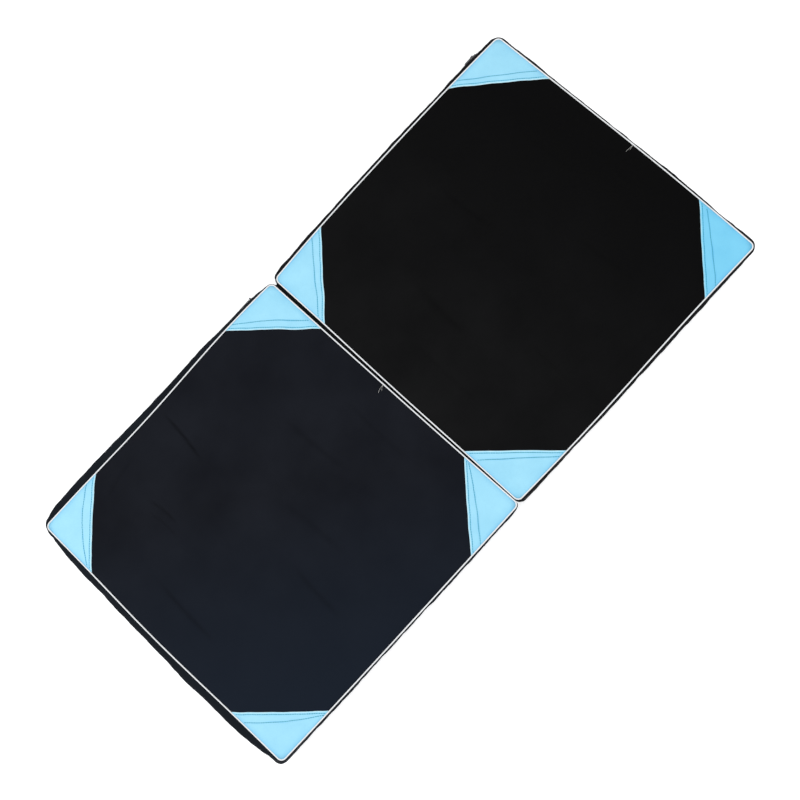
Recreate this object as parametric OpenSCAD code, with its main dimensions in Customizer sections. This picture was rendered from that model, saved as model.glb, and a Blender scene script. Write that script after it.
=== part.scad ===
// Folding gym mat: two padded square panels that fold together like a book.
// +X runs along the open mat towards panel A, +Y towards the side with the zips, +Z up.
// The origin is on the floor, under the middle of the open mat, pull tabs included.

/* [Panels] */
// Length of one panel, along the open mat
panel_l = 495; // [400:1:600]
// Width of the mat
panel_w = 488; // [400:1:600]
// Height of a panel, from the floor to the top of its piping
panel_h = 40; // [35:1:60]
// Radius of a panel's corners, seen from above
corner_r = 9; // [9:0.5:15]
// How far panel A's side walls swell out past the piping, at mid-height
bulge_a = 5; // [3:0.1:8]
// How far panel B's side walls swell out
bulge_b = 5.6; // [3:0.1:8]
// How far panel B's padding lies off centre under its cover, towards its outer end and its zip
skew_b = 4.4; // [0:0.1:5]
// Space between the two pipings at the fold
fold_gap = 3; // [2.6:0.1:6]

/* [Cover] */
// Thickness of the woven cover fabric
fabric_t = 0.8; // [0.5:0.1:1.2]
// Thickness of the leatherette corner patches
patch_t = 1; // [0.6:0.1:1.2]
// Diameter of the piping, over its tape
piping_d = 3; // [2.4:0.1:4]
// Thickness of the piping tape
tape_t = 0.4; // [0.3:0.05:0.5]
// Width of the piping's sewn flange
flange_w = 6; // [4:0.5:6]
// Thickness of the fabric strip that joins the panels
strip_t = 0.5; // [0.4:0.1:0.8]
// How far the strip is sewn into each panel
strip_allowance = 8; // [5:0.5:12]

/* [Zips] */
// Length of a zip's opening
zip_l = 430; // [300:1:440]
// Height of a zip's two tapes together
zip_h = 22; // [18:1:24]
// Diameter of one zip coil
coil_d = 1.7; // [1.4:0.1:1.8]
// Length of a zip slider
slider_l = 11; // [10:0.5:13]
// Height of a zip slider
slider_h = 8.4; // [8.2:0.1:9]
// Length of a slider's pull tab, from its pivot
pull_l = 16; // [12:0.5:20]

/* [Hidden] */
$fn = 64;

// Play between sewn layers, and between the slider and the zip that it runs on
ease = 0.1;
run = 0.3;

// Heights of the layers, from the floor up
wall_z0 = fabric_t;
wall_z1 = panel_h - piping_d - strip_t - 2 * ease;
strip_z = wall_z1 + ease;
flange_z = panel_h - piping_d + ease;
flange_t = tape_t;
top_z = flange_z + flange_t + ease;
patch_z = top_z + fabric_t;
piping_z = panel_h - piping_d / 2;

// The middle of panel A, and how far the walls that meet at the fold are pressed out
panel_x = fold_gap / 2 + panel_l / 2;
fold_press = fold_gap / 2 - run;

// The side walls' height and middle
wall_h = wall_z1 - wall_z0;
wall_mid = (wall_z0 + wall_z1) / 2;

// The zip's parts: gap between its tapes, offsets of its coils, length of its end stops
tape_gap = 1.4;
coil_offset = tape_gap / 2 + coil_d / 2 + 0.05;
coil_y = coil_d / 2 - 0.05;
stop_l = 2.5;
stop_edge = 3;
coil_margin = 6;

// The slider's plates, side flanges and crown, measured outwards from the wall
plate_t = 1.2;
front_y = coil_y + coil_d / 2 + run;
back_y = -fabric_t - 0.5;
back_t = 1;
lip_z = coil_offset + coil_d / 2 + 0.5;
bridge_l = 3;
bridge_t = 0.8;
crown_l = 4.4;
crown_w = 1.8;
crown_out = 2.9;
crown_t = 0.8;
pivot_r = 0.5;
pivot_y = front_y + plate_t + 1.25;
slider_out = front_y + plate_t + crown_out;
slider_x = zip_l / 2 - stop_edge - stop_l - 0.6 - slider_l / 2;

// The middle of the fold, seen from the middle of the whole mat
mid_x = (bulge_b + skew_b - bulge_a) / 2;
mid_y = -(bulge_b + skew_b + slider_out - max(bulge_a, bulge_b - skew_b)) / 2;

// The pull tab's width, and the eye that clears the crown
pull_w = 4.6;
eye_w = 2.4;
eye_l = 3.3;

// Legs of each corner patch, along the mat and across it, from the corner of the piping
legs_a = [[107, 101], [105, 101], [103, 102], [100, 110]];
legs_b = [[110, 97], [104, 103], [99, 104], [97, 103]];

function bulge(side) = side == "a" ? bulge_a : bulge_b;
function skew(side) = side == "a" ? 0 : skew_b;

// The radius of the arc that a side wall follows from its bottom seam to its top seam
function wall_r(bulge) = (wall_h * wall_h / 4 + bulge * bulge) / (2 * bulge);

// Places its children on panel A, or mirrored on panel B
module on_panel(side) {
    translate([mid_x, mid_y, 0]) {
        if (side == "a") translate([panel_x, 0, 0]) children();
        else mirror([1, 0, 0]) translate([panel_x, 0, 0]) children();
    }
}

// The outline of a panel, seen from above, drawn in by a distance
module outline(inset) {
    l = panel_l - 2 * inset;
    w = panel_w - 2 * inset;
    r = corner_r - inset;
    square([l - 2 * r, w], center = true);
    square([l, w - 2 * r], center = true);
    for (x = [-1, 1], y = [-1, 1])
        translate([x * (l / 2 - r), y * (w / 2 - r)]) circle(r);
}

// The section of a padded panel with a given half width between its top seams
module padded_section(half, inset, bulge) {
    centre = half + bulge - wall_r(bulge);
    intersection() {
        translate([-half - bulge, wall_z0]) square([2 * (half + bulge), wall_h]);
        translate([0, wall_mid]) union() {
            square([2 * centre, wall_h], center = true);
            for (way = [-1, 1])
                translate([way * centre, 0]) circle(wall_r(bulge) - inset, $fn = 180);
        }
    }
}

// A quarter of a corner of a padded panel
module padded_corner(inset, bulge) {
    rotate_extrude(angle = 90) intersection() {
        translate([0, wall_z0]) square([corner_r + bulge, wall_h]);
        translate([corner_r + bulge - wall_r(bulge), wall_mid])
            circle(wall_r(bulge) - inset, $fn = 180);
    }
}

// A padded panel whose walls swell out, drawn in by a distance
module padded(inset, bulge) {
    long = panel_l / 2 - corner_r;
    wide = panel_w / 2 - corner_r;
    rotate([90, 0, 90]) linear_extrude(2 * long, center = true)
        padded_section(panel_w / 2, inset, bulge);
    rotate([90, 0, 0]) linear_extrude(2 * wide, center = true)
        padded_section(panel_l / 2, inset, bulge);
    for (turn = [0, 180]) rotate(turn) {
        translate([long, wide, 0]) padded_corner(inset, bulge);
        translate([-long, wide, 0]) rotate(90) padded_corner(inset, bulge);
    }
}

// Keeps what lies beyond the plane where a panel's wall is pressed flat against the other panel's
module past_fold(inset) {
    x = -panel_l / 2 - fold_press + inset;
    intersection() {
        children();
        translate([x, -panel_w, -panel_h]) cube([2 * panel_l, 2 * panel_w, 3 * panel_h]);
    }
}

// Sweeps a profile round a panel's outline, drawn in by a distance, at a height
module around(inset, z) {
    r = corner_r - inset;
    long = panel_l / 2 - corner_r;
    wide = panel_w / 2 - corner_r;
    for (turn = [0, 180]) rotate(turn) {
        translate([long + r, 0, z]) rotate([90, 0, 0])
            linear_extrude(2 * wide, center = true) children();
        translate([0, wide + r, z]) rotate([90, 0, 90])
            linear_extrude(2 * long, center = true) children();
        translate([long, wide, z]) rotate_extrude(angle = 90) translate([r, 0]) children();
        translate([-long, wide, z]) rotate(90)
            rotate_extrude(angle = 90) translate([r, 0]) children();
    }
}

// The curved strip between two distances in from a wall's face, drawn about the seam line
module wall_arc(outer, inner, bulge) {
    translate([bulge - wall_r(bulge), 0]) intersection() {
        difference() {
            circle(wall_r(bulge) - outer, $fn = 180);
            circle(wall_r(bulge) - inner, $fn = 180);
        }
        translate([0, -wall_h / 2]) square([2 * wall_r(bulge), wall_h]);
    }
}

// Moves a panel's padding off centre, towards the outer end and the zip
module off_centre(side) {
    translate([skew(side), skew(side), 0]) children();
}

// Places its children on the zip's line, with +Y outwards from the wall
module at_zip(side, x) {
    on_panel(side) off_centre(side)
        translate([x, panel_w / 2 + bulge(side), wall_mid]) children();
}

module foam_core(side) {
    in = fabric_t + ease;
    color("gainsboro") difference() {
        on_panel(side) past_fold(in) off_centre(side) padded(in, bulge(side));
        at_zip(side, 0) translate([-zip_l / 2, back_y - back_t - 2 * run, -slider_h / 2 - 1])
            cube([zip_l, 10, slider_h + 2]);
    }
}

module bottom_cover(side) {
    color([0.06, 0.06, 0.07]) on_panel(side) linear_extrude(fabric_t) outline(0);
}

// The side wall: a curved strip all round, closed by a flat one where the panels meet
module side_wall(side) {
    color([0.05, 0.05, 0.06]) difference() {
        on_panel(side) {
            past_fold(0) off_centre(side) around(0, wall_mid) wall_arc(0, fabric_t, bulge(side));
            past_fold(0) intersection() {
                off_centre(side) padded(0, bulge(side));
                translate([-panel_l / 2 - bulge(side), -panel_w, 0])
                    cube([bulge(side) - fold_press + fabric_t, 2 * panel_w, panel_h]);
            }
        }
        at_zip(side, 0) translate([-zip_l / 2, -bulge(side), -zip_h / 2])
            cube([zip_l, 2 * bulge(side), zip_h]);
    }
}

module top_cover(side) {
    color([0.08, 0.08, 0.1]) on_panel(side)
        translate([0, 0, top_z]) linear_extrude(fabric_t) outline(piping_d + ease);
}

// The piping's tape, folded round its cord, with the flange that the seam catches
module piping(side) {
    color("white") on_panel(side) around(piping_d / 2, piping_z) difference() {
        union() {
            circle(piping_d / 2);
            translate([-flange_w, flange_z - piping_z]) square([flange_w, flange_t]);
        }
        circle(piping_d / 2 - tape_t);
    }
}

module piping_cord(side) {
    color("ivory") on_panel(side) around(piping_d / 2, piping_z) circle(piping_d / 2 - tape_t - ease);
}

// A corner patch: corner_x and corner_y are 1 or -1, on the panel's own axes
module patch(side, corner_x, corner_y, legs) {
    x = corner_x * (panel_l - piping_d) / 2;
    y = corner_y * (panel_w - piping_d) / 2;
    color([0.45, 0.8, 0.97]) on_panel(side) intersection() {
        translate([0, 0, patch_z]) linear_extrude(patch_t) outline(piping_d + ease);
        translate([0, 0, patch_z - 1]) linear_extrude(patch_t + 2)
            polygon([[x, y], [x - corner_x * legs[0], y], [x, y - corner_y * legs[1]]]);
    }
}

// One zip tape, upper (1) or lower (-1), lying in the wall's curve
module zip_tape(side, up) {
    color([0.04, 0.04, 0.05]) at_zip(side, 0) rotate([90, 0, 90])
        linear_extrude(zip_l - 2 * ease, center = true) intersection() {
            translate([-bulge(side), 0]) wall_arc(ease, fabric_t - ease, bulge(side));
            translate([-bulge(side), up > 0 ? tape_gap / 2 : -zip_h / 2 + ease])
                square([2 * bulge(side), (zip_h - tape_gap) / 2 - ease]);
        }
}

module zip_coil(side, up) {
    color([0.1, 0.1, 0.11]) at_zip(side, 0)
        translate([0, coil_y, up * coil_offset]) rotate([0, 90, 0])
            cylinder(h = zip_l - 2 * coil_margin, d = coil_d, center = true);
}

module zip_stops(side) {
    color("dimgray") for (end = [-1, 1])
        at_zip(side, end * (zip_l / 2 - stop_edge - stop_l / 2))
            translate([-stop_l / 2, 0, -lip_z]) cube([stop_l, front_y, 2 * lip_z]);
}

// The outline of a slider's plate: straight with a round nose towards the open side
module plate_outline() {
    nose = slider_h / 2;
    translate([-slider_l / 2 + nose, 0]) circle(nose);
    translate([-slider_l / 2 + nose, -nose]) square([slider_l - nose, 2 * nose]);
}

module zip_slider(side) {
    lip_l = slider_l - slider_h / 2;
    color("darkgray") at_zip(side, slider_x) {
        translate([0, front_y + plate_t, 0]) rotate([90, 0, 0]) linear_extrude(plate_t) plate_outline();
        translate([0, back_y, 0]) rotate([90, 0, 0]) linear_extrude(back_t) plate_outline();
        translate([slider_l / 2 - bridge_l - 1, back_y - back_t / 2, -bridge_t / 2])
            cube([bridge_l, front_y - back_y + back_t, bridge_t]);
        for (up = [-1, 1])
            translate([slider_l / 2 - lip_l, run - ease, up > 0 ? lip_z : -slider_h / 2])
                cube([lip_l, front_y + plate_t / 2 - run + ease, slider_h / 2 - lip_z]);
        translate([-crown_l / 2, front_y + plate_t / 2, -crown_w / 2]) difference() {
            cube([crown_l, plate_t / 2 + crown_out, crown_w]);
            translate([crown_t, plate_t / 2, -1])
                cube([crown_l - 2 * crown_t, crown_out - crown_t, crown_w + 2]);
        }
    }
}

// The pull tab, lying flat along the zip, with its eye round the slider's crown
module zip_pull(side) {
    arm = (pull_w - eye_w) / 2;
    color("silver") at_zip(side, slider_x) translate([0, pivot_y, 0]) {
        cylinder(r = pivot_r, h = pull_w, center = true);
        rotate([90, 0, 0]) linear_extrude(2 * pivot_r, center = true) difference() {
            union() {
                translate([-pull_l + pull_w / 2, -pull_w / 2]) square([pull_l - pull_w / 2, pull_w]);
                translate([-pull_l + pull_w / 2, 0]) circle(pull_w / 2);
            }
            translate([-eye_l, -eye_w / 2]) square([eye_l + 1, eye_w]);
            translate([-pull_l + pull_w / 2, 0]) circle(arm);
        }
    }
}

// The fabric strip sewn into both panels' top seams, which is the hinge
module hinge_strip() {
    half = fold_gap / 2 + piping_d / 2 + strip_allowance;
    length = panel_w - 2 * corner_r - 2;
    color([0.03, 0.03, 0.04]) translate([mid_x - half, mid_y - length / 2, strip_z])
        cube([2 * half, length, strip_t]);
}

foam_core("a");  // foam_core_a
bottom_cover("a");  // bottom_cover_a
side_wall("a");  // side_wall_a
top_cover("a");  // top_cover_a
piping("a");  // piping_a
piping_cord("a");  // piping_cord_a
patch("a", 1, 1, legs_a[0]);  // patch_a_outer_zip_side
patch("a", 1, -1, legs_a[1]);  // patch_a_outer_plain_side
patch("a", -1, 1, legs_a[2]);  // patch_a_fold_zip_side
patch("a", -1, -1, legs_a[3]);  // patch_a_fold_plain_side
zip_tape("a", 1);  // zip_tape_upper_a
zip_tape("a", -1);  // zip_tape_lower_a
zip_coil("a", 1);  // zip_coil_upper_a
zip_coil("a", -1);  // zip_coil_lower_a
zip_stops("a");  // zip_stops_a
zip_slider("a");  // zip_slider_a
zip_pull("a");  // zip_pull_a

foam_core("b");  // foam_core_b
bottom_cover("b");  // bottom_cover_b
side_wall("b");  // side_wall_b
top_cover("b");  // top_cover_b
piping("b");  // piping_b
piping_cord("b");  // piping_cord_b
patch("b", 1, 1, legs_b[0]);  // patch_b_outer_zip_side
patch("b", 1, -1, legs_b[1]);  // patch_b_outer_plain_side
patch("b", -1, 1, legs_b[2]);  // patch_b_fold_zip_side
patch("b", -1, -1, legs_b[3]);  // patch_b_fold_plain_side
zip_tape("b", 1);  // zip_tape_upper_b
zip_tape("b", -1);  // zip_tape_lower_b
zip_coil("b", 1);  // zip_coil_upper_b
zip_coil("b", -1);  // zip_coil_lower_b
zip_stops("b");  // zip_stops_b
zip_slider("b");  // zip_slider_b
zip_pull("b");  // zip_pull_b

hinge_strip();
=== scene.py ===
"""Looks of the folding gym mat. Lengths are in millimetres about the middle of the fold, until a mesh is made."""
import math
import random

import bpy
import numpy as np
from mathutils import Matrix, Vector, noise
from mathutils.bvhtree import BVHTree


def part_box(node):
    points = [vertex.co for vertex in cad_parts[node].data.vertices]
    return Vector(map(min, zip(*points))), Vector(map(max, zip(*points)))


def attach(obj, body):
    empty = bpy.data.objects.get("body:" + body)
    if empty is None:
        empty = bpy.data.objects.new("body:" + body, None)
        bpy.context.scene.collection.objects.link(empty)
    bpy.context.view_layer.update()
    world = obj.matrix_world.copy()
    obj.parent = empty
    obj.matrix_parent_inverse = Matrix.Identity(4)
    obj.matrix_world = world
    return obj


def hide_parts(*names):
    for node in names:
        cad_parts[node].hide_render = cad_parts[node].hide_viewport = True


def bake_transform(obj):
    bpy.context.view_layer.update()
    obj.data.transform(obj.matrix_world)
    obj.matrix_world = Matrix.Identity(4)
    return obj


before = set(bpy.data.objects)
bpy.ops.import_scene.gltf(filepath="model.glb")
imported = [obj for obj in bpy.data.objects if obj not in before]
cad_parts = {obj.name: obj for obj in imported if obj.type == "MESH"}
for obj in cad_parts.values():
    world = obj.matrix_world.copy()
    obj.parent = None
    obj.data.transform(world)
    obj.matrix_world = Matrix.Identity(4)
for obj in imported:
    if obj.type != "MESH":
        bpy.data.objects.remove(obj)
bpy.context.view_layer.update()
random.seed(11)
scene = bpy.context.scene

MM = 0.001
SIDES = ("a", "b")


def box_mm(node):
    low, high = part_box(node)
    return np.array(low) / MM, np.array(high) / MM


# ---------------------------------------------------------------- sizes, from the frame
PIPE_R = 1.5
PIPE_SHOWN_R = 0.98
pipe_a, pipe_b = box_mm("piping_a"), box_mm("piping_b")
FOLD_X = (pipe_a[0][0] + pipe_b[1][0]) / 2
MID_Y = (pipe_a[0][1] + pipe_a[1][1]) / 2
ORIGIN = np.array([FOLD_X, MID_Y, 0.0])
PIPE_Z = pipe_a[1][2] - PIPE_R
NEAR = pipe_a[0][0] + PIPE_R - FOLD_X
FAR = pipe_a[1][0] - PIPE_R - FOLD_X
HALF = pipe_a[1][1] - PIPE_R - MID_Y
SPAN = {"a": (NEAR, FAR), "b": (-FAR, -NEAR)}
CORNER = 7.5
FABRIC = 0.8
SEAM_Z = 37.3
BOTTOM_Z = 0.5
ZIP_Z = 18.55
ZIP_OUT = {s: box_mm(f"zip_stops_{s}")[0][1] - MID_Y - HALF - PIPE_R for s in SIDES}

# How far each piping edge wanders from its straight line: start, end, and the first three sine waves along it.
# Outward is positive; at the fold, away from the fold is. Edges run towards +X or +Y.
WANDER = {
    "a": {
        "zip": (-2.7, -5.1, 4.9, 0.2, 0.4), "outer": (-1.5, -2.8, 2.7, 0.5, 0.0),
        "plain": (-2.9, 2.5, 0.9, 1.3, 0.0), "fold": (-0.5, 0.9, -0.4, 0.0, 0.4),
    },
    "b": {
        "zip": (1.6, -2.4, 0.2, -1.5, 1.1), "outer": (-3.1, -1.6, 3.2, -0.2, -0.7),
        "plain": (-3.0, 0.2, 1.1, 0.1, 0.1), "fold": (-2.5, 0.8, 0.9, 0.1, 0.0),
    },
}

# How far the wall's shoulder stands out past the piping, along each edge towards +X or +Y
SHOULDER = {
    "a": {
        "zip": ((0, 5), (0.04, 7.2), (0.12, 6.4), (0.2, 6.6), (0.28, 5.8), (0.38, 6.2), (0.46, 5.7), (0.55, 6.3),
                (0.62, 5.5), (0.74, 5.1), (0.8, 6.2), (0.87, 7.2), (0.92, 7), (0.96, 6), (1, 5)),
        "outer": ((0, 5), (0.05, 5.6), (0.15, 4.7), (0.22, 5.5), (0.32, 6), (0.4, 5.3), (0.62, 4.8), (0.8, 5.1), (0.87, 5.8),
                  (0.93, 5), (1, 4.8)),
        "plain": ((0, 3), (0.1, 3), (0.17, 1.2), (0.26, 1.7), (0.33, 3.4), (0.4, 4.1), (0.5, 3.7), (0.57, 4.9),
                  (0.7, 4.7), (0.82, 4.8), (0.88, 3.7), (0.93, 3), (1, 3.5)),
        "fold": ((0, 1), (1, 1)),
    },
    "b": {
        "zip": ((0, 5.6), (0.03, 9.4), (0.06, 12.2), (0.12, 13.4), (0.18, 14.3), (0.3, 13.9), (0.42, 13), (0.54, 11.4),
                (0.7, 10), (0.78, 7.1), (0.84, 5.8), (0.9, 5.2), (0.95, 4.3), (1, 1.6)),
        "outer": ((0, 5), (0.03, 7.4), (0.06, 11.3), (0.09, 13), (0.14, 14.6), (0.22, 15.3), (0.28, 14.9), (0.34, 15.3),
                  (0.4, 14.5), (0.46, 12.9), (0.54, 11.9), (0.66, 12), (0.74, 11.7), (0.82, 12), (0.9, 10.1),
                  (0.95, 7.4), (0.98, 5), (1, 4.7)),
        "plain": ((0, 2.3), (0.08, 1.7), (0.13, 2.8), (0.22, 3.4), (0.4, 2.8), (0.5, 1.8), (0.6, 2.8), (0.75, 3),
                  (0.86, 2.7), (0.92, 2.1), (1, 1.1)),
        "fold": ((0, 1), (1, 1)),
    },
}
# How far its middle stands out past the piping's straight line. The zip's tapes lie on it, under the coils.
ZIP_SINK = 0.7
MIDDLE = {
    "a": {
        "zip": ((0, ZIP_OUT["a"] - ZIP_SINK), (1, ZIP_OUT["a"] - ZIP_SINK)), "outer": ((0, 5), (1, 5)),
        "plain": ((0, 3.4), (1, 3.4)), "fold": ((0, 1.2), (1, 1.2)),
    },
    "b": {
        "zip": ((0, ZIP_OUT["b"] - ZIP_SINK), (0.945, ZIP_OUT["b"] - ZIP_SINK), (0.985, 4), (1, 2.5)),
        "outer": ((0, 9.9), (1, 9.9)),
        "plain": ((0, 1.2), (1, 1.2)), "fold": ((0, 1.2), (1, 1.2)),
    },
}

# Legs of the corner patches, along the mat and across it; how far the second row of stitches lies
# from the free edge, at its end on the zip or plain side, in the middle, and at its other end;
# and how far the free edge bows out
PATCHES = {
    ("a", "outer", "zip"): ((107, 101), (9.4, 11.9, 14.3), 0.0),
    ("a", "outer", "plain"): ((102.8, 102.8), (16.2, 14.1, 8.0), 0.4),
    ("a", "fold", "zip"): ((104.4, 102.6), (14.7, 12.5, 8.5), 0.0),
    ("a", "fold", "plain"): ((99, 104.6), (8.1, 11.2, 13.8), 0.0),
    ("b", "outer", "zip"): ((108, 98.7), (9.6, 15.4, 4.2), -1.3),
    ("b", "outer", "plain"): ((98, 99.7), (4.4, 13.5, 14.0), -0.3),
    ("b", "fold", "zip"): ((98.3, 102.8), (7.4, 13.6, 11.8), 0.0),
    ("b", "fold", "plain"): ((98.7, 101.4), (14.0, 12.9, 4.7), 0.9),
}
ROW_1 = 3.2

# ---------------------------------------------------------------- camera
CAMERA_AT = Vector((ORIGIN + (-11.2, -157.9, 1182.5)) * MM)
CAMERA_AIM = Vector((ORIGIN + (-3.9, -18.9, 38.5)) * MM)
CAMERA_TURN = math.radians(42.46)

camera = bpy.data.objects.new("camera", bpy.data.cameras.new("camera"))
scene.collection.objects.link(camera)
forward = (CAMERA_AIM - CAMERA_AT).normalized()
right = forward.cross(Vector((math.cos(CAMERA_TURN), math.sin(CAMERA_TURN), 0))).normalized()
up = right.cross(forward)
camera.matrix_world = Matrix.Translation(CAMERA_AT) @ Matrix((right, up, -forward)).transposed().to_4x4()
camera.data.lens = 36
camera.data.sensor_width = 36
camera.data.clip_end = 50
scene.camera = camera


# ---------------------------------------------------------------- node and material helpers
class Shader:
    """A Principled material whose colour, roughness and bump come from procedural nodes."""

    def __init__(self, name, **constants):
        self.material = bpy.data.materials.new(name)
        self.material.use_nodes = True
        self.tree = self.material.node_tree
        self.surface = self.tree.nodes["Principled BSDF"]
        for socket, value in constants.items():
            self.surface.inputs[socket.replace("_", " ")].default_value = value

    def node(self, kind, inputs=None, **settings):
        made = self.tree.nodes.new(kind)
        for key, value in settings.items():
            setattr(made, key, value)
        for key, value in (inputs or {}).items():
            socket = made.inputs[key]
            if isinstance(value, bpy.types.NodeSocket):
                self.tree.links.new(value, socket)
            else:
                socket.default_value = value
        return made

    def math(self, operation, a, b=0.0):
        return self.node("ShaderNodeMath", {0: a, 1: b}, operation=operation).outputs[0]

    def weave(self):
        """Places on the cloth, in metres, along its threads."""
        return self.node("ShaderNodeAttribute", attribute_name="weave").outputs["Vector"]

    def noise(self, vector, scale, detail=2.0, roughness=0.5):
        return self.node(
            "ShaderNodeTexNoise",
            {"Vector": vector, "Scale": scale, "Detail": detail, "Roughness": roughness},
        ).outputs["Fac"]

    def steps(self, value, *stops):
        """A colour ramp: pairs of a position and a colour or grey."""
        ramp = self.node("ShaderNodeValToRGB", {0: value})
        band = ramp.color_ramp
        while len(band.elements) < len(stops):
            band.elements.new(0.5)
        for element, (place, colour) in zip(band.elements, stops):
            element.position = place
            element.color = (*colour, 1) if hasattr(colour, "__len__") else (colour,) * 3 + (1,)
        return ramp.outputs[0]

    def mix(self, factor, a, b, blend="MIX"):
        made = self.node("ShaderNodeMix", data_type="RGBA", blend_type=blend)
        for index, value in ((0, factor), (6, a), (7, b)):
            socket = made.inputs[index]
            if isinstance(value, bpy.types.NodeSocket):
                self.tree.links.new(value, socket)
            else:
                socket.default_value = (*value, 1) if index else value
        return made.outputs[2]

    def join(self, socket, value):
        self.tree.links.new(value, self.surface.inputs[socket])

    def bump(self, *layers):
        """Layers of height, each with its strength and its depth in metres."""
        normal = None
        for height, strength, depth in layers:
            made = self.node("ShaderNodeBump", {"Height": height, "Strength": strength, "Distance": depth})
            if normal is not None:
                self.tree.links.new(normal, made.inputs["Normal"])
            normal = made.outputs["Normal"]
        self.join("Normal", normal)


def woven(name, dark, light, threads, twill=False, depth=0.0002, slub=0.35, fade=None, **constants):
    """A woven cloth with that many threads a metre, two tones, slubs and slightly varied wear, and painted shade in the
    low places between its threads.

    fade is a direction over the cloth, in shares a metre, and the tone it fades to between 0 and 1. The fade is painted
    light across the panel, and a cloth with a fade also takes painted crease shade from the edge attribute.
    """
    s = Shader(name, **constants)
    place = s.weave()
    axes = s.node("ShaderNodeSeparateXYZ", {0: place}).outputs
    turn = 2 * math.pi * threads
    if twill:
        both = s.math("ADD", axes[0], axes[1])
        over = s.math("SINE", s.math("MULTIPLY", both, turn * 0.5))
        thread = s.math("SINE", s.math("MULTIPLY", axes[0], turn))
        height = s.math("ADD", over, s.math("MULTIPLY", thread, 0.45))
    else:
        warp = s.math("SINE", s.math("MULTIPLY", axes[0], turn * 0.5))
        weft = s.math("SINE", s.math("MULTIPLY", axes[1], turn * 0.5))
        height = s.math("MULTIPLY", warp, weft)
    height = s.math("MULTIPLY_ADD", height, 0.5)
    height.node.inputs[2].default_value = 0.5
    stretched = s.node("ShaderNodeMapping", {"Vector": place, "Scale": (1.0, 14.0, 1.0)}).outputs[0]
    slubs = s.noise(stretched, 90.0, 3.0, 0.6)
    cloud = s.noise(place, 9.0, 3.0, 0.55)
    tone = s.mix(s.steps(cloud, (0.3, 0.0), (0.72, 1.0)), dark, light)
    # Painted light: a fade across the panel, then painted shade along the creases.
    if fade:
        (fade_x, fade_y, start), painted_light_tone = fade
        share = s.math("ADD", s.math("MULTIPLY", axes[0], fade_x), s.math("MULTIPLY", axes[1], fade_y))
        tone = s.mix(s.steps(s.math("ADD", share, start), (0.0, 0.0), (1.0, 1.0)), tone, painted_light_tone)
        painted_crease_shade = s.node("ShaderNodeAttribute", attribute_name="edge").outputs["Fac"]
        tone = s.mix(painted_crease_shade, tone, tuple(c * 0.1 for c in dark))
    # Painted shade between the threads: the weave's low places are darker.
    tone = s.mix(s.steps(height, (0.0, 0.55), (1.0, 0.0)), tone, tuple(c * 0.45 for c in dark))
    lint = s.noise(place, 950.0, 1.0)
    tone = s.mix(s.steps(lint, (0.77, 0.0), (0.83, 0.5)), tone, tuple(c * 2.2 + 0.004 for c in light))
    s.join("Base Color", tone)
    s.join("Roughness", s.steps(slubs, (0.25, 0.72), (0.8, 0.92)))
    s.bump((cloud, 0.25, 0.0008), (slubs, slub, 0.00012), (height, 0.55, depth))
    return s.material


def leatherette(name, dark, light, worn_and_highlit):
    """Coated cloth with a fine pebbled grain, paler where the grain stands up since its hollows take painted shade,
    paler along the free edges with rubbed wear and a painted highlight, and with deeper painted shade beside the seams
    and stitch rows.
    """
    s = Shader(name, Specular_IOR_Level=0.42, Coat_Weight=0.08, Coat_Roughness=0.35, Sheen_Weight=0.03)
    place = s.weave()
    bent = s.node("ShaderNodeVectorMath", {0: place, 1: (0.0, 0.0, 0.0)}, operation="ADD")
    wobble = s.node("ShaderNodeTexNoise", {"Vector": place, "Scale": 420.0, "Detail": 1.0})
    small = s.node("ShaderNodeVectorMath", {0: wobble.outputs["Color"], "Scale": 0.0006}, operation="SCALE")
    s.tree.links.new(small.outputs[0], bent.inputs[1])
    cells = s.node(
        "ShaderNodeTexVoronoi", {"Vector": bent.outputs[0], "Scale": 900.0}, feature="DISTANCE_TO_EDGE"
    ).outputs["Distance"]
    grain = s.steps(cells, (0.0, 0.0), (0.22, 0.8), (0.6, 1.0))
    cloud = s.noise(place, 26.0, 4.0, 0.6)
    tone = s.mix(s.steps(cloud, (0.32, 0.0), (0.7, 1.0)), dark, light)
    # Painted shade in the hollows between the grain's pebbles.
    tone = s.mix(s.steps(grain, (0.0, 0.3), (0.5, 0.0)), tone, tuple(c * 0.72 for c in dark))
    edge = s.node("ShaderNodeAttribute", attribute_name="edge").outputs["Fac"]
    patchy = s.steps(s.noise(place, 160.0, 3.0), (0.35, 0.35), (0.65, 1.0))
    # Paler along the free edge: rubbed wear with a painted highlight on it.
    tone = s.mix(s.math("MULTIPLY", s.math("MAXIMUM", edge), patchy), tone, worn_and_highlit)
    # Painted shade beside the seams and the stitch rows, a deeper blue.
    painted_seam_shade = s.math("MAXIMUM", s.math("MULTIPLY", edge, -0.8))
    shadowed = s.steps(s.noise(place, 22.0, 2.0), (0.35, 0.35), (0.6, 1.0))
    tone = s.mix(s.math("MULTIPLY", painted_seam_shade, shadowed), tone, (dark[0] * 0.42, dark[1] * 0.72, dark[2] * 0.9))
    s.join("Base Color", tone)
    s.join("Roughness", s.steps(cloud, (0.3, 0.4), (0.75, 0.55)))
    s.bump((cloud, 0.2, 0.0006), (grain, 0.35, 0.00012))
    return s.material


def plain_grain(name, dark, light, scale, rough=(0.4, 0.6), depth=0.0001, **constants):
    """Thread, filler, plastic or metal: a fine mottled grain in two tones."""
    s = Shader(name, **constants)
    place = s.node("ShaderNodeTexCoord").outputs["Object"]
    fine = s.noise(place, scale, 3.0, 0.6)
    broad = s.noise(place, scale * 0.08, 2.0)
    tone = s.mix(s.steps(fine, (0.35, 0.0), (0.68, 1.0)), dark, light)
    tone = s.mix(s.steps(broad, (0.4, 0.0), (0.7, 0.35)), tone, tuple(c * 0.6 for c in dark))
    s.join("Base Color", tone)
    s.join("Roughness", s.steps(broad, (0.3, rough[0]), (0.7, rough[1])))
    s.bump((fine, 0.3, depth))
    return s.material


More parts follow.
